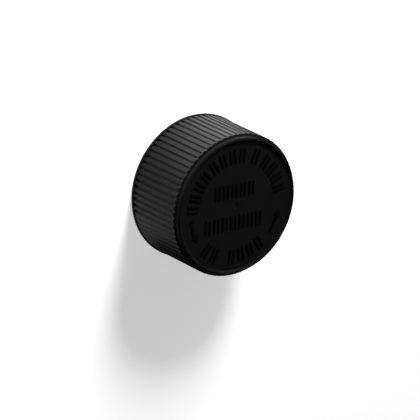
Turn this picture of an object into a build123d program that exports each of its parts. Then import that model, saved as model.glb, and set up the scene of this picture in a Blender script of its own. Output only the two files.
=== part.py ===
from build123d import *
from math import radians, sin
import os

# Child-resistant push-and-turn cap for a 28 mm bottle neck: a ribbed outer cap that turns idly
# around a threaded inner cap until it is pushed down, and a foam liner inside the inner cap.
# Millimetres. The cap stands on its open rim at Z = 0, its axis is Z and its top faces up.
# Radii are built outwards from the neck bore, and heights upwards from the rim.

# Radial sizes, from the neck outwards
neck_bore = 28.2            # diameter of the inner cap's bore, at the roots of its thread
inner_wall = 1.1            # skirt wall of the inner cap
flange_reach = 0.6          # how far the inner cap's foot flange stands out of its wall
side_play = 0.3             # radial play between that flange and the outer cap
bead_reach = 0.7            # how far the retaining bead stands into the outer cap
shell_wall = 1.2            # outer cap's skirt wall under the grooves, at the shoulder
groove_depth = 0.27         # depth of a groove between two ribs, at the shoulder
groove_deepening = 0.15     # by which a groove is deeper at the rim band
skirt_draft = 0.25          # growth of the skirt's radius from shoulder to rim
band_step = 0.18            # how far the smooth rim band stands proud of the rib crests

# Heights, from the rim upwards
mouth_height = 0.9          # plain mouth below the retaining bead
bead_height = 1.0           # retaining bead, along the axis
seat_gap = 0.15             # between the bead and the inner cap that rests above it
bore_length = 8.3           # inner cap's bore, from its open end to the liner's groove
liner_thickness = 1.2
liner_play = 0.1            # all round the liner, in its groove
inner_panel = 1.4           # top wall of the inner cap
tooth_height = 1.4          # drive teeth of both caps
tooth_rest_gap = 0.3        # between the two rings of teeth when the cap isn't pushed
outer_panel = 1.3           # top wall of the outer cap
recess_depth = 0.65         # top disc below the raised rim around it

# Outer cap's ribs, shoulder and top
rib_count = 72
groove_root = 0.2           # width of a groove at its bottom
groove_mouth = 0.7          # width of a groove below the bevels of the ribs beside it
rib_bevel = 0.1             # on the ribs' long edges
rib_end_bevel = 0.15        # on the ribs' upper ends
ledge_drop = 1.15           # from the top rim down to the ledge where the ribs end
ledge_step = 0.25           # how far the wall above the ledge stands inside the groove bottoms
shoulder_draft = 0.2        # lean of the wall above the ledge
shoulder_bevel = 0.35
top_rim_width = 0.55        # raised rim around the top disc, with its bevels
top_rim_bevel = 0.12
recess_lean = 0.3           # lean of the wall inside that rim
recess_bevel = 0.2          # between that wall and the disc
band_height = 0.8           # smooth band at the rim
band_bevel = 0.12
foot_bevel = 0.2
cavity_bevel = 0.45         # under the top, inside the skirt
gate_radius = 0.9           # shallow dimple of the moulding gate, in the disc's centre
gate_depth = 0.2
gate_nub_radius = 0.3
gate_nub_height = 0.12

# Marks raised on the disc: upright bars in pairs, in two straight rows and in groups along an arc,
# and two curved arrows that show the turn to open
mark_height = 0.25
bar_width = 0.5
bar_length = 3.5
bar_spacing = 1.15          # between the middles of the two bars of a pair
row_shift = -0.7            # of both rows, along X
row_offset = 4.0            # of each row from the axis, along Y
row_pitch = 2.45            # between pairs in a row
upper_row = 5               # pairs
lower_row = 7
arc_radius = 12.6           # to the middle of the bars
arc_pitch = 12.7            # degrees between pairs
arc_groups = ((155, 4), (103.5, 4), (66, 1), (31, 4), (235.5, 2), (285, 4))  # middle angle, pairs
arrow_radius = 13.0
arrow_width = 0.6
arrow_sweep = 21            # degrees
arrow_head = 1.0            # from the middle of the head to its tip
arrow_starts = (186, -38)   # degrees

# Mouth of the outer cap, and small features of the inner cap and liner
mouth_chamfer = 0.3
bead_ramp = 0.5             # height of the bead's lower, sloping side
bead_bevel = 0.2
flange_height = 0.8
flange_chamfer = 0.2
neck_chamfer = 0.4          # lead-in for the bottle's neck
inner_bevel = 0.5           # outer top corner of the inner cap
liner_groove = 0.25         # depth of the liner's groove in the bore
liner_bevel = 0.15

# Drive teeth, the same on both caps
tooth_count = 12
tooth_root_width = 3.4
tooth_tip_width = 0.9
tooth_length = 3.6          # along the radius
tooth_margin = 1.6          # from the inner cap's outer wall in to the teeth
tooth_backlash = 0.3        # between two upright faces in full mesh, at the ring's inner side
tooth_sink = 0.2            # how deep a tooth's foot reaches into the panel that carries it

# Radii that follow
bore_radius = neck_bore / 2
inner_radius = bore_radius + inner_wall
flange_radius = inner_radius + flange_reach
cavity_radius = flange_radius + side_play
bead_radius = cavity_radius - bead_reach
root_radius = cavity_radius + shell_wall
crest_radius = root_radius + groove_depth
crest_foot_radius = crest_radius + skirt_draft
root_foot_radius = crest_foot_radius - groove_depth - groove_deepening
rim_radius = crest_foot_radius + band_step
ledge_radius = root_radius - ledge_step
top_edge_radius = ledge_radius - shoulder_draft
recess_edge_radius = top_edge_radius - top_rim_width
recess_floor_radius = recess_edge_radius - recess_lean
recess_bevel_run = recess_lean * recess_bevel / recess_depth
groove_radius = bore_radius + liner_groove
liner_radius = groove_radius - liner_play
tooth_outer_radius = inner_radius - tooth_margin
tooth_inner_radius = tooth_outer_radius - tooth_length

# Heights that follow
bead_top = mouth_height + bead_height
inner_foot = bead_top + seat_gap
liner_groove_foot = inner_foot + bore_length
liner_foot = liner_groove_foot + liner_play
liner_top = liner_foot + liner_thickness
inner_ceiling = liner_top + liner_play
inner_top = inner_ceiling + inner_panel
inner_tooth_tip = inner_top + tooth_height
outer_tooth_tip = inner_tooth_tip + tooth_rest_gap
cavity_top = outer_tooth_tip + tooth_height
disc_height = cavity_top + outer_panel
cap_height = disc_height + recess_depth
ledge_height = cap_height - ledge_drop


# The section of one groove between two ribs, wide enough above the crests to cut clear of them
def groove_section(height, root, crest):
    half_root = groove_root / 2
    half_mouth = groove_mouth / 2
    clear = crest + band_step
    half_clear = half_mouth + rib_bevel + band_step
    with BuildSketch(Plane.XY.offset(height)) as section:
        with BuildLine():
            Polyline(
                (root, half_root),
                (crest - rib_bevel, half_mouth),
                (clear, half_clear),
                (clear, -half_clear),
                (crest - rib_bevel, -half_mouth),
                (root, -half_root),
                close=True,
            )
        make_face()
    return section.sketch


# A groove follows the skirt's draft, starts on the smooth band and runs out above the ledge
with BuildPart() as groove:
    loft(
        [
            groove_section(band_height, root_foot_radius, crest_foot_radius),
            groove_section(ledge_height, root_radius, crest_radius),
        ],
        ruled=True,
    )


# A ring of drive teeth: each has an upright face that drives, a narrow tip, and a ramp that lets
# it slip over its partner when the cap isn't pushed
half_pitch_chord = 2 * tooth_inner_radius * sin(radians(90 / tooth_count))
drive_face = (half_pitch_chord - tooth_backlash) / 2


def tooth_ring(foot, tip, drive_side, start_angle):
    ramp_run = tooth_root_width - tooth_tip_width
    sink_run = ramp_run * tooth_sink / tooth_height
    sunk_foot = foot - tooth_sink if tip > foot else foot + tooth_sink
    with BuildPart() as tooth:
        with BuildSketch(Plane.YZ.offset(tooth_inner_radius)):
            with BuildLine():
                Polyline(
                    (drive_side * drive_face, sunk_foot),
                    (drive_side * drive_face, tip),
                    (drive_side * (drive_face - tooth_tip_width), tip),
                    (drive_side * (drive_face - tooth_root_width - sink_run), sunk_foot),
                    close=True,
                )
            make_face()
        extrude(amount=tooth_length)
    with BuildPart() as ring:
        with PolarLocations(0, tooth_count, start_angle=start_angle):
            add(tooth.part)
    return ring.part


# The raised marks, drawn on the disc
with BuildSketch(Plane.XY.offset(disc_height)) as marks:
    for pairs, side in ((upper_row, 1), (lower_row, -1)):
        with Locations((row_shift, side * row_offset)):
            with GridLocations(row_pitch, 0, pairs, 1):
                with GridLocations(bar_spacing, 0, 2, 1):
                    Rectangle(bar_width, bar_length)
    for middle, pairs in arc_groups:
        first = middle - arc_pitch * (pairs - 1) / 2
        with PolarLocations(arc_radius, pairs, start_angle=first, angular_range=arc_pitch * pairs):
            with GridLocations(0, bar_spacing, 1, 2):
                Rectangle(bar_length, bar_width)
    for start in arrow_starts:
        SlotArc(CenterArc((0, 0), arrow_radius, start, arrow_sweep), arrow_width)
        with PolarLocations(arrow_radius, 1, start_angle=start + arrow_sweep):
            RegularPolygon(arrow_head, 3, rotation=90)

# Outer cap: a turned shell with the raised rim and disc on top and the bead in its mouth, the
# drive teeth under its top, and the grooves that leave the ribs standing
with BuildPart() as outer_cap:
    with BuildSketch(Plane.XZ):
        with BuildLine():
            Polyline(
                (rim_radius - foot_bevel, 0),
                (rim_radius, foot_bevel),
                (rim_radius, band_height - band_bevel),
                (rim_radius - band_bevel, band_height),
                (crest_foot_radius, band_height),
                (crest_radius, ledge_height - rib_end_bevel),
                (crest_radius - rib_end_bevel, ledge_height),
                (ledge_radius, ledge_height),
                (top_edge_radius, cap_height - shoulder_bevel),
                (top_edge_radius - shoulder_bevel, cap_height),
                (recess_edge_radius + top_rim_bevel, cap_height),
                (recess_edge_radius, cap_height - top_rim_bevel),
                (recess_floor_radius + recess_bevel_run, disc_height + recess_bevel),
                (recess_floor_radius - recess_bevel, disc_height),
                (gate_radius, disc_height),
                (gate_nub_radius, disc_height - gate_depth),
                (gate_nub_radius, disc_height - gate_depth + gate_nub_height),
                (0, disc_height - gate_depth + gate_nub_height),
                (0, cavity_top),
                (cavity_radius - cavity_bevel, cavity_top),
                (cavity_radius, cavity_top - cavity_bevel),
                (cavity_radius, bead_top),
                (bead_radius + bead_bevel, bead_top),
                (bead_radius, bead_top - bead_bevel),
                (bead_radius, mouth_height + bead_ramp),
                (cavity_radius, mouth_height),
                (cavity_radius, mouth_chamfer),
                (cavity_radius + mouth_chamfer, 0),
                close=True,
            )
        make_face()
    revolve(axis=Axis.Z)
    add(tooth_ring(cavity_top, outer_tooth_tip, -1, 0))
    extrude(marks.sketch, amount=mark_height)
    with PolarLocations(0, rib_count):
        add(groove.part, mode=Mode.SUBTRACT)

# Inner cap: its flange rests above the bead, its bore takes the bottle's neck, a groove at the
# bore's end holds the liner, and its teeth stand half a pitch from the outer cap's
with BuildPart() as inner_cap:
    with BuildSketch(Plane.XZ):
        with BuildLine():
            Polyline(
                (bore_radius + neck_chamfer, inner_foot),
                (flange_radius - flange_chamfer, inner_foot),
                (flange_radius, inner_foot + flange_chamfer),
                (flange_radius, inner_foot + flange_height),
                (inner_radius, inner_foot + flange_height + flange_reach),
                (inner_radius, inner_top - inner_bevel),
                (inner_radius - inner_bevel, inner_top),
                (0, inner_top),
                (0, inner_ceiling),
                (groove_radius, inner_ceiling),
                (groove_radius, liner_groove_foot),
                (bore_radius, liner_groove_foot),
                (bore_radius, inner_foot + neck_chamfer),
                close=True,
            )
        make_face()
    revolve(axis=Axis.Z)
    add(tooth_ring(inner_top, inner_tooth_tip, 1, 180 / tooth_count))

# Liner: a foam disc, a little wider than the bore, so that its groove keeps it in
with BuildPart() as liner:
    with BuildSketch(Plane.XZ):
        with BuildLine():
            Polyline(
                (0, liner_foot),
                (liner_radius - liner_bevel, liner_foot),
                (liner_radius, liner_foot + liner_bevel),
                (liner_radius, liner_top - liner_bevel),
                (liner_radius - liner_bevel, liner_top),
                (0, liner_top),
                close=True,
            )
        make_face()
    revolve(axis=Axis.Z)

os.makedirs("parts", exist_ok=True)
outer_cap.part.label = "outer_cap"
inner_cap.part.label = "inner_cap"
liner.part.label = "liner"
export_step(outer_cap.part, "parts/outer_cap.step")
export_step(inner_cap.part, "parts/inner_cap.step")
export_step(liner.part, "parts/liner.step")
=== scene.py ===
from math import atan2, cos, hypot, pi, radians, sin

import bmesh
import bpy
from mathutils import Matrix, Vector


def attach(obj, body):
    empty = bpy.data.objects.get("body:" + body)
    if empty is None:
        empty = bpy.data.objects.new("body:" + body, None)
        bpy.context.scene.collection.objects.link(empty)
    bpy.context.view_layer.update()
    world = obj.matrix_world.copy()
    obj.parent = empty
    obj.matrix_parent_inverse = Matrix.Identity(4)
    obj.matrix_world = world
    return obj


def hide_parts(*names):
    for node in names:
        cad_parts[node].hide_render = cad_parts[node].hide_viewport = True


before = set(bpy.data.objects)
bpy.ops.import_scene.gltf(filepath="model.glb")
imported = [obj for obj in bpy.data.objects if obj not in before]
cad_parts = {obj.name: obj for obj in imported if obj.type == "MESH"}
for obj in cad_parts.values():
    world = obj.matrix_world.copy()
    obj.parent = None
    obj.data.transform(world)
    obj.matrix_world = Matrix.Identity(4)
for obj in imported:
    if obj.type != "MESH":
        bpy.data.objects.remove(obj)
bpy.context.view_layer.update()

# Outer cap. The ribbed shell that the hand turns, one injection moulding in black polypropylene.
# Its section is turned about the axis, with the rounded edges that the mould leaves, and the grooves
# are then pressed into the skirt. 72 ribs stand between them, which fade a little under the ledge.
MM = 0.001
RIM_RADIUS = 18.0
BAND_HEIGHT = 0.8
CREST_FOOT_RADIUS = 17.82
CREST_RADIUS = 17.57
GROOVE_DEPTH = 0.27
GROOVE_DEEPENING = 0.15
GROOVE_RUN_OUT = 0.9
GROOVE_END_SHARE = 0.3
GROOVE_FLOOR = 0.1
GROOVE_MOUTH = 0.4
LEDGE_HEIGHT = 17.05
RUN_OUT_DRAFT = (CREST_FOOT_RADIUS - CREST_RADIUS) * GROOVE_RUN_OUT / (LEDGE_HEIGHT - BAND_HEIGHT)
LEDGE_RADIUS = 17.05
TOP_EDGE_RADIUS = 16.85
CAP_HEIGHT = 18.2
RECESS_EDGE_RADIUS = 16.3
RECESS_FLOOR_RADIUS = 16.0
DISC_HEIGHT = 17.55
GATE_RADIUS = 0.9
GATE_DEPTH = 0.2
GATE_NUB_RADIUS = 0.3
GATE_NUB_HEIGHT = 0.12
CAVITY_TOP = 16.25
CAVITY_RADIUS = 16.1
BEAD_TOP = 1.9
BEAD_RADIUS = 15.4
BEAD_FOOT = 1.4
OUTER_TOOTH_TIP = 14.85
TOOTH_SINK = 0.1
MOUTH_HEIGHT = 0.9
MOUTH_BEVEL = 0.3
RIB_COUNT = 72
STEPS_PER_RIB = 18
LARGE_ROUNDING = 0.2
SHARP_ANGLE = radians(50)

outer_section = [
    (RIM_RADIUS, 0, 0.2),
    (RIM_RADIUS, BAND_HEIGHT, 0.15),
    (CREST_FOOT_RADIUS, BAND_HEIGHT, 0),
    (CREST_RADIUS + RUN_OUT_DRAFT, LEDGE_HEIGHT - GROOVE_RUN_OUT, 0),
    (CREST_RADIUS, LEDGE_HEIGHT, 0.25),
    (LEDGE_RADIUS, LEDGE_HEIGHT, 0.14),
    (TOP_EDGE_RADIUS, CAP_HEIGHT, 0.42),
    (RECESS_EDGE_RADIUS, CAP_HEIGHT, 0.11),
    (RECESS_FLOOR_RADIUS, DISC_HEIGHT, 0.3),
    (GATE_RADIUS, DISC_HEIGHT, 0.1),
    (GATE_NUB_RADIUS, DISC_HEIGHT - GATE_DEPTH, 0),
    (GATE_NUB_RADIUS, DISC_HEIGHT - GATE_DEPTH + GATE_NUB_HEIGHT, 0.05),
    (0, DISC_HEIGHT - GATE_DEPTH + GATE_NUB_HEIGHT, 0),
    (0, CAVITY_TOP, 0),
    (CAVITY_RADIUS, CAVITY_TOP, 0.6),
    (CAVITY_RADIUS, BEAD_TOP, 0.1),
    (BEAD_RADIUS, BEAD_TOP, 0.18),
    (BEAD_RADIUS, BEAD_FOOT, 0.15),
    (CAVITY_RADIUS, MOUTH_HEIGHT, 0.1),
    (CAVITY_RADIUS, MOUTH_BEVEL, 0),
    (CAVITY_RADIUS + MOUTH_BEVEL, 0, 0),
]


def turned(corners, steps):
    """A closed form turned about the axis from corners given as (radius, height, rounding), in mm."""
    form = bmesh.new()
    points = [form.verts.new((radius, 0, height)) for radius, height, rounding in corners]
    for start, end in zip(points, points[1:] + points[:1]):
        if start.co.x or end.co.x:
            form.edges.new((start, end))
    for point, (radius, height, rounding) in zip(points, corners):
        if rounding:
            bmesh.ops.bevel(form, geom=[point], offset=rounding, offset_type="OFFSET",
                            segments=4 if rounding >= LARGE_ROUNDING else 2, profile=0.5,
                            affect="VERTICES", material=-1)
    bmesh.ops.spin(form, geom=form.verts[:] + form.edges[:], cent=(0, 0, 0), axis=(0, 0, 1),
                   angle=2 * pi, steps=steps, use_merge=True)
    bmesh.ops.remove_doubles(form, verts=form.verts, dist=1e-4)
    bmesh.ops.recalc_face_normals(form, faces=form.faces)
    return form


def add_teeth(form, foot, tip, drive_side, first_angle):
    """The ring of ramped drive teeth on a panel: an upright face, a narrow tip and a ramp, in mm."""
    inner_radius, length, count = 10.0, 3.6, 12
    drive_face, tip_width, root_width, rounding = 1.155, 0.9, 3.4, 0.08
    section = ((drive_face, foot), (drive_face, tip), (drive_face - tip_width, tip),
               (drive_face - root_width, foot))
    corners = [form.verts.new((inner_radius, drive_side * across, height)) for across, height in section]
    face = form.faces.new(corners)
    grown = bmesh.ops.extrude_face_region(form, geom=[face])
    tooth = corners + [item for item in grown["geom"] if isinstance(item, bmesh.types.BMVert)]
    bmesh.ops.translate(form, verts=tooth[4:], vec=(length, 0, 0))
    faces = list({face for corner in tooth for face in corner.link_faces})
    edges = list({edge for corner in tooth for edge in corner.link_edges})
    bmesh.ops.recalc_face_normals(form, faces=faces)
    rounded = bmesh.ops.bevel(form, geom=edges, offset=rounding, offset_type="OFFSET", segments=2,
                              profile=0.5, affect="EDGES", material=-1)
    faces = list(set(rounded["faces"]) | {f for f in faces if f.is_valid})
    geometry = faces + list({e for f in faces for e in f.edges}) + list({v for f in faces for v in f.verts})
    bmesh.ops.rotate(form, verts=[item for item in geometry if isinstance(item, bmesh.types.BMVert)],
                     cent=(0, 0, 0), matrix=Matrix.Rotation(first_angle, 3, "Z"))
    bmesh.ops.spin(form, geom=geometry, cent=(0, 0, 0), axis=(0, 0, 1), angle=2 * pi * (count - 1) / count,
                   steps=count - 1, use_duplicate=True)


def press_groove(point):
    """Moves a point of the plain skirt down onto the grooves' surface, where it stands above it."""
    radius = hypot(point.co.x, point.co.y)
    on_skirt = BAND_HEIGHT - 1e-4 <= point.co.z <= LEDGE_HEIGHT + 1e-4
    if not on_skirt or radius > CREST_FOOT_RADIUS + 1e-4 or radius < LEDGE_RADIUS:
        return
    fall = (LEDGE_HEIGHT - point.co.z) / (LEDGE_HEIGHT - BAND_HEIGHT)
    crest = CREST_RADIUS + (CREST_FOOT_RADIUS - CREST_RADIUS) * fall
    pitch = 2 * pi / RIB_COUNT
    turn = atan2(point.co.y, point.co.x) % pitch
    from_groove = min(turn, pitch - turn) * radius
    share = min(max((from_groove - GROOVE_FLOOR) / (GROOVE_MOUTH - GROOVE_FLOOR), 0), 1)
    end = GROOVE_END_SHARE + (1 - GROOVE_END_SHARE) * min((LEDGE_HEIGHT - point.co.z) / GROOVE_RUN_OUT, 1)
    depth = (GROOVE_DEPTH + GROOVE_DEEPENING * fall) * end
    surface = crest - depth * (1 - share * share * (3 - 2 * share))
    if radius > surface:
        point.co.x *= surface / radius
        point.co.y *= surface / radius


def finished(form, name, body, material):
    """Makes a piece of a form in mm: in metres, smooth between its sharp edges, on its body."""
    bmesh.ops.scale(form, vec=(MM, MM, MM), verts=form.verts)
    mesh = bpy.data.meshes.new(name)
    form.to_mesh(mesh)
    form.free()
    mesh.shade_smooth()
    mesh.set_sharp_from_angle(angle=SHARP_ANGLE)
    mesh.materials.append(material)
    piece = bpy.data.objects.new(name, mesh)
    bpy.context.scene.collection.objects.link(piece)
    even = piece.modifiers.new("even shading", "WEIGHTED_NORMAL")
    even.keep_sharp = True
    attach(piece, body)
    return piece


def linear(colour):
    """A colour given as sRGB hex, in the linear light that shaders take."""
    parts = [int(colour[i:i + 2], 16) / 255 for i in (1, 3, 5)]
    return [p / 12.92 if p <= 0.04045 else ((p + 0.055) / 1.055) ** 2.4 for p in parts] + [1]


def add_node(tree, kind, settings, values, links):
    """Adds a node with its settings, its sockets' values and the sockets it is fed from."""
    node = tree.nodes.new(kind)
    for name, value in settings.items():
        setattr(node, name, value)
    for name, value in values.items():
        node.inputs[name].default_value = value
    for name, source in links.items():
        tree.links.new(source, node.inputs[name])
    return node


# Black polypropylene, injection moulded: a polished mould gives the skirt and shoulder a satin
# gloss with faint flow marks, and a spark-eroded insert gives the sunk disc a fine matt grain.
GRAIN_RADIUS = 15.6
GATE_GRAIN_RADIUS = 1.0
GRAIN_FADE = 0.15
black = bpy.data.materials.new("black moulded polypropylene")
black.use_nodes = True
tree = black.node_tree
shader = tree.nodes["Principled BSDF"]
place = add_node(tree, "ShaderNodeTexCoord", {}, {}, {})
in_mm = add_node(tree, "ShaderNodeMapping", {}, {"Scale": (1000, 1000, 1000)},
                 {"Vector": place.outputs["Object"]})
parts = add_node(tree, "ShaderNodeSeparateXYZ", {}, {}, {"Vector": in_mm.outputs["Vector"]})
flat = add_node(tree, "ShaderNodeCombineXYZ", {}, {}, {"X": parts.outputs["X"], "Y": parts.outputs["Y"]})
reach = add_node(tree, "ShaderNodeVectorMath", {"operation": "LENGTH"}, {}, {0: flat.outputs["Vector"]})
inside_rim = add_node(tree, "ShaderNodeMapRange", {},
                      {"From Min": GRAIN_RADIUS + GRAIN_FADE, "From Max": GRAIN_RADIUS},
                      {"Value": reach.outputs["Value"]})
outside_gate = add_node(tree, "ShaderNodeMapRange", {},
                        {"From Min": GATE_GRAIN_RADIUS - GRAIN_FADE, "From Max": GATE_GRAIN_RADIUS},
                        {"Value": reach.outputs["Value"]})
on_top = add_node(tree, "ShaderNodeMapRange", {},
                  {"From Min": DISC_HEIGHT - 0.25, "From Max": DISC_HEIGHT - 0.05},
                  {"Value": parts.outputs["Z"]})
ring = add_node(tree, "ShaderNodeMath", {"operation": "MULTIPLY"}, {},
                {0: inside_rim.outputs["Result"], 1: outside_gate.outputs["Result"]})
disc = add_node(tree, "ShaderNodeMath", {"operation": "MULTIPLY"}, {},
                {0: ring.outputs["Value"], 1: on_top.outputs["Result"]})
flow = add_node(tree, "ShaderNodeTexNoise", {}, {"Scale": 0.35, "Detail": 3.0, "Distortion": 0.6},
                {"Vector": in_mm.outputs["Vector"]})
grain = add_node(tree, "ShaderNodeTexNoise", {}, {"Scale": 5.0, "Detail": 3.0, "Roughness": 0.6},
                 {"Vector": in_mm.outputs["Vector"]})
satin = add_node(tree, "ShaderNodeMapRange", {}, {"To Min": 0.24, "To Max": 0.36},
                 {"Value": flow.outputs["Fac"]})
matt = add_node(tree, "ShaderNodeMapRange", {}, {"To Min": 0.42, "To Max": 0.58},
                {"Value": grain.outputs["Fac"]})
finish = add_node(tree, "ShaderNodeMix", {"data_type": "FLOAT"}, {},
                  {"Factor": disc.outputs["Value"], "A": satin.outputs["Result"],
                   "B": matt.outputs["Result"]})
tint = add_node(tree, "ShaderNodeMix", {"data_type": "RGBA"},
                {"A": linear("#0d0d0e"), "B": linear("#121213")},
                {"Factor": flow.outputs["Fac"]})
depth = add_node(tree, "ShaderNodeMapRange", {}, {"To Min": 0.004, "To Max": 0.03},
                 {"Value": disc.outputs["Value"]})
relief = add_node(tree, "ShaderNodeMath", {"operation": "MULTIPLY"}, {},
                  {0: grain.outputs["Fac"], 1: depth.outputs["Result"]})
bump = add_node(tree, "ShaderNodeBump", {}, {"Strength": 0.6, "Distance": MM},
                {"Height": relief.outputs["Value"]})
shader.inputs["IOR"].default_value = 1.49
shader.inputs["Specular IOR Level"].default_value = 0.15
tree.links.new(tint.outputs["Result"], shader.inputs["Base Color"])
tree.links.new(finish.outputs["Result"], shader.inputs["Roughness"])
tree.links.new(bump.outputs["Normal"], shader.inputs["Normal"])

shell = turned(outer_section, RIB_COUNT * STEPS_PER_RIB)
for point in shell.verts:
    press_groove(point)
add_teeth(shell, CAVITY_TOP + TOOTH_SINK, OUTER_TOOTH_TIP, -1, 0)
outer = finished(shell, "outer_shell", "outer", black)
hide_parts("outer_cap")

# Raised marks. Tactile bars on the disc, in groups that a finger can feel, with two arrows that
# show the turn to open. They are cut into the mould, so they are one with the cap and polished.
MARK_HEIGHT = 0.25
MARK_SINK = 0.1
BAR_WIDTH = 0.55
BAR_ROUNDING = 0.08
BAR_LENGTH = 3.5
BAR_GAP = 1.15
ROW_PITCH = 2.45
ROW_OFFSET = 4.0
ROW_CENTRE = -0.7
ARC_RADIUS = 12.6
ARC_PITCH = 12.7
ARC_GROUPS = ((155, 4), (103.5, 4), (66, 1), (31, 4), (235.5, 2), (285, 4))
ARROW_RADIUS = 13.0
ARROW_WIDTH = 0.65
ARROW_HEAD = 1.0
ARROW_STEPS = 12
ARROWS = ((186, 207), (-38, -17))


def add_bar(form, length, x, y, turn):
    """One raised bar with round ends, standing on the disc, in mm."""
    made = bmesh.ops.create_cube(form, size=1)
    corners = made["verts"]
    bmesh.ops.scale(form, vec=(BAR_WIDTH, length, MARK_HEIGHT + MARK_SINK), verts=corners)
    edges = {e for v in corners for e in v.link_edges}
    upright = [e for e in edges if abs(e.verts[0].co.z - e.verts[1].co.z) > 1e-6]
    rounded = bmesh.ops.bevel(form, geom=upright, offset=BAR_WIDTH * 0.45, offset_type="OFFSET", segments=3,
                              profile=0.5, affect="EDGES", material=-1)
    island = list(set(rounded["verts"]) | {v for v in corners if v.is_valid})
    top = max(v.co.z for v in island)
    edges = {e for v in island for e in v.link_edges}
    high = [e for e in edges if all(abs(v.co.z - top) < 1e-6 for v in e.verts)]
    lid = [e for e in high if len({f.normal.z > 0.5 for f in e.link_faces}) > 1]
    softened = bmesh.ops.bevel(form, geom=lid, offset=BAR_ROUNDING, offset_type="OFFSET", segments=2,
                               profile=0.5, affect="EDGES", material=-1)
    island = list(set(softened["verts"]) | {v for v in island if v.is_valid})
    bmesh.ops.rotate(form, verts=island, cent=(0, 0, 0), matrix=Matrix.Rotation(turn, 3, "Z"))
    middle = DISC_HEIGHT + (MARK_HEIGHT - MARK_SINK) / 2
    bmesh.ops.translate(form, verts=island, vec=(x, y, middle))


def add_arrow(form, start, end):
    """A curved arrow on the disc, from one angle to another, in degrees."""
    low = DISC_HEIGHT - MARK_SINK
    rise = (0, 0, MARK_HEIGHT + MARK_SINK)
    lean = ARROW_HEAD / ARROW_RADIUS
    stem = [form.verts.new((ARROW_RADIUS + side * ARROW_WIDTH / 2, 0, low)) for side in (-1, 1)]
    line = form.edges.new(stem)
    bmesh.ops.spin(form, geom=stem + [line], cent=(0, 0, 0), axis=(0, 0, 1),
                   angle=radians(end - start) - lean / 2, steps=ARROW_STEPS)
    faces = list({f for v in stem for f in v.link_faces})
    island = set(stem)
    edge_of = set(faces)
    while edge_of:
        island |= {v for f in edge_of for v in f.verts}
        edge_of = {f for v in island for f in v.link_faces} - set(faces)
        faces += list(edge_of)
    bmesh.ops.rotate(form, verts=list(island), cent=(0, 0, 0), matrix=Matrix.Rotation(radians(start), 3, "Z"))
    reach = ARROW_HEAD * sin(radians(60))
    tips = ((ARROW_RADIUS - reach, -lean / 2), (ARROW_RADIUS + reach, -lean / 2), (ARROW_RADIUS, lean))
    head = [form.verts.new((radius * cos(radians(end) + turn), radius * sin(radians(end) + turn), low))
            for radius, turn in tips]
    faces.append(form.faces.new(head))
    for group in (faces[:-1], faces[-1:]):
        grown = bmesh.ops.extrude_face_region(form, geom=group, use_keep_orig=True)
        raised = [item for item in grown["geom"] if isinstance(item, bmesh.types.BMVert)]
        bmesh.ops.translate(form, verts=raised, vec=rise)


# The marks and arrows are polished in the mould, so they mirror their surroundings and look darker than the
# matt disc between them. Their colour is also painted darker than the disc's, though it is the same plastic:
# that part of their darkness is painted shade.
polished_painted_dark = bpy.data.materials.new("polished black polypropylene painted dark")
polished_painted_dark.use_nodes = True
tree = polished_painted_dark.node_tree
shader = tree.nodes["Principled BSDF"]
place = add_node(tree, "ShaderNodeTexCoord", {}, {}, {})
in_mm = add_node(tree, "ShaderNodeMapping", {}, {"Scale": (1000, 1000, 1000)},
                 {"Vector": place.outputs["Object"]})
haze = add_node(tree, "ShaderNodeTexNoise", {}, {"Scale": 1.2, "Detail": 2.0},
                {"Vector": in_mm.outputs["Vector"]})
gloss = add_node(tree, "ShaderNodeMapRange", {}, {"To Min": 0.15, "To Max": 0.28},
                 {"Value": haze.outputs["Fac"]})
# Painted shade: the marks' colour is darker than the disc's own, though both are the same black plastic.
tint = add_node(tree, "ShaderNodeMix", {"data_type": "RGBA"},
                {"A": linear("#030303"), "B": linear("#060606")},
                {"Factor": haze.outputs["Fac"]})
shader.inputs["IOR"].default_value = 1.49
shader.inputs["Specular IOR Level"].default_value = 0.2
tree.links.new(tint.outputs["Result"], shader.inputs["Base Color"])
tree.links.new(gloss.outputs["Result"], shader.inputs["Roughness"])

marks = bmesh.new()
for count, row in ((5, 1), (7, -1)):
    for place_in_row in range(count):
        x = ROW_CENTRE + (place_in_row - (count - 1) / 2) * ROW_PITCH
        for side in (-1, 1):
            add_bar(marks, BAR_LENGTH, x + side * BAR_GAP / 2, row * ROW_OFFSET, 0)
for middle, count in ARC_GROUPS:
    for place_in_group in range(count):
        angle = radians(middle + (place_in_group - (count - 1) / 2) * ARC_PITCH)
        for side in (-1, 1):
            x = ARC_RADIUS * cos(angle) - side * BAR_GAP / 2 * sin(angle)
            y = ARC_RADIUS * sin(angle) + side * BAR_GAP / 2 * cos(angle)
            add_bar(marks, BAR_LENGTH, x, y, angle - pi / 2)
for start, end in ARROWS:
    add_arrow(marks, start, end)
bmesh.ops.recalc_face_normals(marks, faces=marks.faces)
finished(marks, "raised_marks", "outer", polished_painted_dark)

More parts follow.
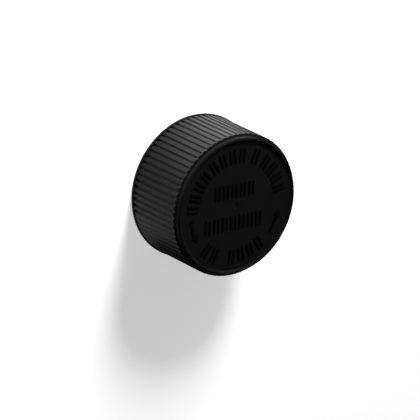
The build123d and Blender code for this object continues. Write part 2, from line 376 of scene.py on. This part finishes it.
# Inner cap. The threaded cap that screws onto the bottle, one moulding in undyed polypropylene,
# the same whatever the outer cap's colour. A flange at its foot keeps it above the bead, and the
# ramped teeth on its top meet those of the outer cap when that is pushed down.
BORE_RADIUS = 14.1
INNER_RADIUS = 15.2
FLANGE_RADIUS = 15.8
INNER_FOOT = 2.05
LINER_GROOVE_FOOT = 10.35
LINER_GROOVE_RADIUS = 14.35
INNER_CEILING = 11.75
INNER_TOP = 13.15
INNER_TOOTH_TIP = 14.55
INNER_TOOTH_TURN = radians(15)
FLANGE_HEIGHT = 0.8
FLANGE_SLOPE_TOP = 1.4
BORE_LEAD = 0.4
ROUND_STEPS = 288
inner_section = [
    (BORE_RADIUS + BORE_LEAD, INNER_FOOT, 0.05),
    (FLANGE_RADIUS, INNER_FOOT, 0.2),
    (FLANGE_RADIUS, INNER_FOOT + FLANGE_HEIGHT, 0.1),
    (INNER_RADIUS, INNER_FOOT + FLANGE_SLOPE_TOP, 0.1),
    (INNER_RADIUS, INNER_TOP, 0.5),
    (0, INNER_TOP, 0),
    (0, INNER_CEILING, 0),
    (LINER_GROOVE_RADIUS, INNER_CEILING, 0),
    (LINER_GROOVE_RADIUS, LINER_GROOVE_FOOT, 0.05),
    (BORE_RADIUS, LINER_GROOVE_FOOT, 0.1),
    (BORE_RADIUS, INNER_FOOT + BORE_LEAD, 0.1),
]

# Undyed polypropylene is milky: light goes a little way in, which softens its shadows. The mould
# leaves it satin.
milky = bpy.data.materials.new("undyed moulded polypropylene")
milky.use_nodes = True
tree = milky.node_tree
shader = tree.nodes["Principled BSDF"]
place = add_node(tree, "ShaderNodeTexCoord", {}, {}, {})
in_mm = add_node(tree, "ShaderNodeMapping", {}, {"Scale": (1000, 1000, 1000)},
                 {"Vector": place.outputs["Object"]})
cloud = add_node(tree, "ShaderNodeTexNoise", {}, {"Scale": 0.3, "Detail": 3.0},
                 {"Vector": in_mm.outputs["Vector"]})
tint = add_node(tree, "ShaderNodeMix", {"data_type": "RGBA"},
                {"A": linear("#dcdcd4"), "B": linear("#e8e8e1")},
                {"Factor": cloud.outputs["Fac"]})
sheen = add_node(tree, "ShaderNodeMapRange", {}, {"To Min": 0.3, "To Max": 0.44},
                 {"Value": cloud.outputs["Fac"]})
shader.inputs["IOR"].default_value = 1.49
shader.inputs["Subsurface Weight"].default_value = 0.35
shader.inputs["Subsurface Radius"].default_value = (1.0, 1.0, 0.9)
shader.inputs["Subsurface Scale"].default_value = MM
tree.links.new(tint.outputs["Result"], shader.inputs["Base Color"])
tree.links.new(sheen.outputs["Result"], shader.inputs["Roughness"])

inner_form = turned(inner_section, ROUND_STEPS)
add_teeth(inner_form, INNER_TOP - TOOTH_SINK, INNER_TOOTH_TIP, 1, INNER_TOOTH_TURN)
inner = finished(inner_form, "inner_threaded_cap", "inner", milky)
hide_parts("inner_cap")

# Thread of the inner cap, moulded with it: one right-hand ridge of about a turn and a half that
# grips the neck's own thread. It grows out of the wall at one end and sinks back at the other.
THREAD_PITCH = 4.23
THREAD_DEPTH = 1.15
THREAD_START = 3.6
THREAD_TURNS = 1.4
THREAD_STEPS_PER_TURN = 120
THREAD_LEAD = 25
THREAD_SINK = 0.1
RIDGE_FOOT = 1.05
RIDGE_CREST = 0.35
RIDGE_ROUNDING = 0.18
ridge = bmesh.new()
section = ((THREAD_SINK, -RIDGE_FOOT), (-THREAD_DEPTH, -RIDGE_CREST), (-THREAD_DEPTH, RIDGE_CREST),
           (THREAD_SINK, RIDGE_FOOT))
corners = [ridge.verts.new((BORE_RADIUS + out, 0, THREAD_START + up)) for out, up in section]
sides = [ridge.edges.new(pair) for pair in zip(corners, corners[1:] + corners[:1])]
steps = int(THREAD_TURNS * THREAD_STEPS_PER_TURN)
ridge.faces.new(corners)
last = bmesh.ops.spin(ridge, geom=corners + sides, cent=(0, 0, 0), axis=(0, 0, 1),
                      dvec=(0, 0, THREAD_PITCH / THREAD_STEPS_PER_TURN),
                      angle=2 * pi * THREAD_TURNS, steps=steps)
ridge.faces.new([item for item in last["geom_last"] if isinstance(item, bmesh.types.BMVert)])
ridge.verts.ensure_lookup_table()
for index, point in enumerate(ridge.verts):
    step = index // len(section)
    lead = min(step, steps - step, THREAD_LEAD) / THREAD_LEAD
    radius = hypot(point.co.x, point.co.y)
    root = BORE_RADIUS + THREAD_SINK
    sunk = root + (radius - root) * sin(lead * pi / 2)
    point.co.x *= sunk / radius
    point.co.y *= sunk / radius
bmesh.ops.recalc_face_normals(ridge, faces=ridge.faces)
long_edges = [e for e in ridge.edges if len(e.link_faces) == 2 and e.calc_face_angle() > radians(20)]
bmesh.ops.bevel(ridge, geom=long_edges, offset=RIDGE_ROUNDING, offset_type="OFFSET", segments=2, profile=0.5,
                affect="EDGES", material=-1)
finished(ridge, "neck_thread_ridge", "inner", milky)

# Liner. A disc of white closed-cell polyethylene foam, punched from sheet and pressed past the
# bore into its groove, where it seals on the bottle's lip.
LINER_RADIUS = 14.25
LINER_FOOT = 10.45
LINER_TOP = 11.65
liner_section = [(0, LINER_FOOT, 0), (LINER_RADIUS, LINER_FOOT, 0.15), (LINER_RADIUS, LINER_TOP, 0.15),
                 (0, LINER_TOP, 0)]

# The foam's skin is matt white, and the cells under it show as a fine pitted grain. They are about
# 0.2 mm across, and drawn at twice that so that they show.
foam = bpy.data.materials.new("white polyethylene foam")
foam.use_nodes = True
tree = foam.node_tree
shader = tree.nodes["Principled BSDF"]
place = add_node(tree, "ShaderNodeTexCoord", {}, {}, {})
in_mm = add_node(tree, "ShaderNodeMapping", {}, {"Scale": (1000, 1000, 1000)},
                 {"Vector": place.outputs["Object"]})
cells = add_node(tree, "ShaderNodeTexVoronoi", {}, {"Scale": 2.5}, {"Vector": in_mm.outputs["Vector"]})
mottle = add_node(tree, "ShaderNodeTexNoise", {}, {"Scale": 0.5, "Detail": 3.0},
                  {"Vector": in_mm.outputs["Vector"]})
tint = add_node(tree, "ShaderNodeMix", {"data_type": "RGBA"},
                {"A": linear("#e9e9e6"), "B": linear("#f4f4f2")},
                {"Factor": mottle.outputs["Fac"]})
dull = add_node(tree, "ShaderNodeMapRange", {}, {"To Min": 0.6, "To Max": 0.75},
                {"Value": mottle.outputs["Fac"]})
bump = add_node(tree, "ShaderNodeBump", {}, {"Strength": 0.35, "Distance": 0.05 * MM},
                {"Height": cells.outputs["Distance"]})
shader.inputs["IOR"].default_value = 1.5
shader.inputs["Subsurface Weight"].default_value = 0.3
shader.inputs["Subsurface Radius"].default_value = (0.6, 0.6, 0.6)
shader.inputs["Subsurface Scale"].default_value = MM
tree.links.new(tint.outputs["Result"], shader.inputs["Base Color"])
tree.links.new(dull.outputs["Result"], shader.inputs["Roughness"])
tree.links.new(bump.outputs["Normal"], shader.inputs["Normal"])

liner = finished(turned(liner_section, ROUND_STEPS), "foam_liner", "liner", foam)
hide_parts("liner")

# Floor. A plain white sheet under the cap, with a slight gloss that mirrors the cap's foot.
FLOOR_SIZE = 3.0
FLOOR_GAP = 0.02
sheet = bmesh.new()
bmesh.ops.create_grid(sheet, x_segments=1, y_segments=1, size=FLOOR_SIZE / 2)
bmesh.ops.translate(sheet, verts=sheet.verts, vec=(0, 0, -FLOOR_GAP * MM))
floor_mesh = bpy.data.meshes.new("floor")
sheet.to_mesh(floor_mesh)
sheet.free()
floor = bpy.data.objects.new("floor", floor_mesh)
bpy.context.scene.collection.objects.link(floor)
white = bpy.data.materials.new("white acrylic sheet")
white.use_nodes = True
shader = white.node_tree.nodes["Principled BSDF"]
shader.inputs["Base Color"].default_value = linear("#f2f2f2")
shader.inputs["Roughness"].default_value = 0.25
shader.inputs["Emission Color"].default_value = linear("#ffffff")
shader.inputs["Emission Strength"].default_value = 0.52
floor_mesh.materials.append(white)

# Painted reflection card. A sheet of light just above the floor, which only reflections see: a painted
# reflection, mirrored in the cap's gloss in place of the floor. It is brightest beyond the cap, a painted
# highlight on the upper ribs, and falls dark on the cap's lower side, a painted shade there, and it gives the
# ribs their light.
CARD_HEIGHT = 0.05
card = bpy.data.objects.new("painted_reflection_card", bpy.data.meshes.new("painted_reflection_card"))
bpy.context.scene.collection.objects.link(card)
sheet = bmesh.new()
bmesh.ops.create_grid(sheet, x_segments=1, y_segments=1, size=FLOOR_SIZE / 2)
bmesh.ops.translate(sheet, verts=sheet.verts, vec=(0, 0, CARD_HEIGHT * MM))
sheet.to_mesh(card.data)
sheet.free()
card.visible_camera = False
card.visible_diffuse = False
card.visible_shadow = False
glow = bpy.data.materials.new("painted reflection light")
glow.use_nodes = True
tree = glow.node_tree
shader = tree.nodes["Principled BSDF"]
place = add_node(tree, "ShaderNodeTexCoord", {}, {}, {})
in_mm = add_node(tree, "ShaderNodeMapping", {}, {"Scale": (1000, 1000, 1000)},
                 {"Vector": place.outputs["Object"]})
parts = add_node(tree, "ShaderNodeSeparateXYZ", {}, {}, {"Vector": in_mm.outputs["Vector"]})
aside = add_node(tree, "ShaderNodeMath", {"operation": "SUBTRACT"}, {},
                 {0: parts.outputs["Y"], 1: parts.outputs["X"]})
# Painted shade: on the cap's lower side the sheet goes dark, so the ribs there mirror shade.
below = add_node(tree, "ShaderNodeMapRange", {"interpolation_type": "SMOOTHSTEP"},
                 {"From Min": -6.0, "From Max": 20.0, "To Min": 0.01, "To Max": 0.8},
                 {"Value": aside.outputs["Value"]})
# Painted highlight: beyond the cap the sheet grows several times brighter, which lights the upper ribs'
# crests.
above = add_node(tree, "ShaderNodeMapRange", {"interpolation_type": "SMOOTHSTEP"},
                 {"From Min": 10.0, "From Max": 34.0, "To Min": 1.0, "To Max": 4.2},
                 {"Value": parts.outputs["Y"]})
reach = add_node(tree, "ShaderNodeVectorMath", {"operation": "LENGTH"}, {}, {0: in_mm.outputs["Vector"]})
near = add_node(tree, "ShaderNodeMapRange", {"interpolation_type": "SMOOTHSTEP"},
                {"From Min": 34.0, "From Max": 52.0, "To Min": 1.0, "To Max": 0.22},
                {"Value": reach.outputs["Value"]})
sides = add_node(tree, "ShaderNodeMath", {"operation": "MULTIPLY"}, {},
                 {0: below.outputs["Result"], 1: above.outputs["Result"]})
strength = add_node(tree, "ShaderNodeMath", {"operation": "MULTIPLY"}, {},
                    {0: sides.outputs["Value"], 1: near.outputs["Result"]})
shader.inputs["Base Color"].default_value = linear("#000000")
shader.inputs["Specular IOR Level"].default_value = 0
shader.inputs["Emission Color"].default_value = linear("#ffffff")
tree.links.new(strength.outputs["Value"], shader.inputs["Emission Strength"])
card.data.materials.append(glow)

# Camera. It looks down on the cap's top at the photograph's angle, rolled so that the cap lies on
# its side in the picture as it does there. The axis points down to the right in the picture.
FOCAL_PIXELS = 2000
PICTURE_PIXELS = 420
SENSOR_MM = 36
AXIS_TILT = radians(40.78)
AXIS_HEADING = radians(26.56)
MARK_TURN = radians(10.25)
DISC_PIXEL_X = 237.92
DISC_PIXEL_Y = 207.01
DISTANCE_IN_RADII = 26.09
axis = Vector((sin(AXIS_TILT) * cos(AXIS_HEADING), sin(AXIS_TILT) * sin(AXIS_HEADING), -cos(AXIS_TILT)))
across = Vector((0, 1, 0)).cross(axis).normalized()
along = axis.cross(across)
row_x = -cos(MARK_TURN) * across - sin(MARK_TURN) * along
row_y = sin(MARK_TURN) * across - cos(MARK_TURN) * along
to_row = Matrix((row_x, row_y, axis))
right, down, forward = (to_row @ Vector(v) for v in ((1, 0, 0), (0, 1, 0), (0, 0, 1)))
distance = DISTANCE_IN_RADII * RIM_RADIUS * MM
centre = PICTURE_PIXELS / 2
offset_x = (DISC_PIXEL_X - centre) / FOCAL_PIXELS * distance
offset_y = (DISC_PIXEL_Y - centre) / FOCAL_PIXELS * distance
top_centre = Vector((0, 0, CAP_HEIGHT * MM))
eye = top_centre - offset_x * right - offset_y * down - distance * forward
camera_data = bpy.data.cameras.new("camera")
camera_data.sensor_width = SENSOR_MM
camera_data.lens = SENSOR_MM * FOCAL_PIXELS / PICTURE_PIXELS
camera_data.clip_start = 0.01
camera = bpy.data.objects.new("camera", camera_data)
camera.matrix_world = Matrix.Translation(eye) @ Matrix((right, -down, -forward)).transposed().to_4x4()
bpy.context.scene.collection.objects.link(camera)
bpy.context.scene.camera = camera

# Light. A soft light stands at the picture's upper right, in front of the cap, with a larger and
# weaker one further out on that side. The rest of the room is dim, so that the disc mirrors dark.
ROOM_STRENGTH = 0.08
LIGHTS = (
    ("key", (0.05, 0.3, 0.17), 0.1, 1.9, False),
    ("fill", (0.28, 0.38, 0.12), 0.4, 0.3, True),
)
for name, position, size, power, mirrored in LIGHTS:
    lamp_data = bpy.data.lights.new(name, "AREA")
    lamp_data.shape = "DISK"
    lamp_data.size = size
    lamp_data.energy = power
    lamp = bpy.data.objects.new(name, lamp_data)
    toward = Vector(position)
    lamp.visible_glossy = mirrored
    lamp.matrix_world = Matrix.Translation(toward) @ toward.to_track_quat("Z", "Y").to_matrix().to_4x4()
    bpy.context.scene.collection.objects.link(lamp)
world = bpy.data.worlds.new("room")
world.use_nodes = True
world.node_tree.nodes["Background"].inputs["Color"].default_value = linear("#ffffff")
world.node_tree.nodes["Background"].inputs["Strength"].default_value = ROOM_STRENGTH
bpy.context.scene.world = world
bpy.context.scene.view_settings.view_transform = "Standard"
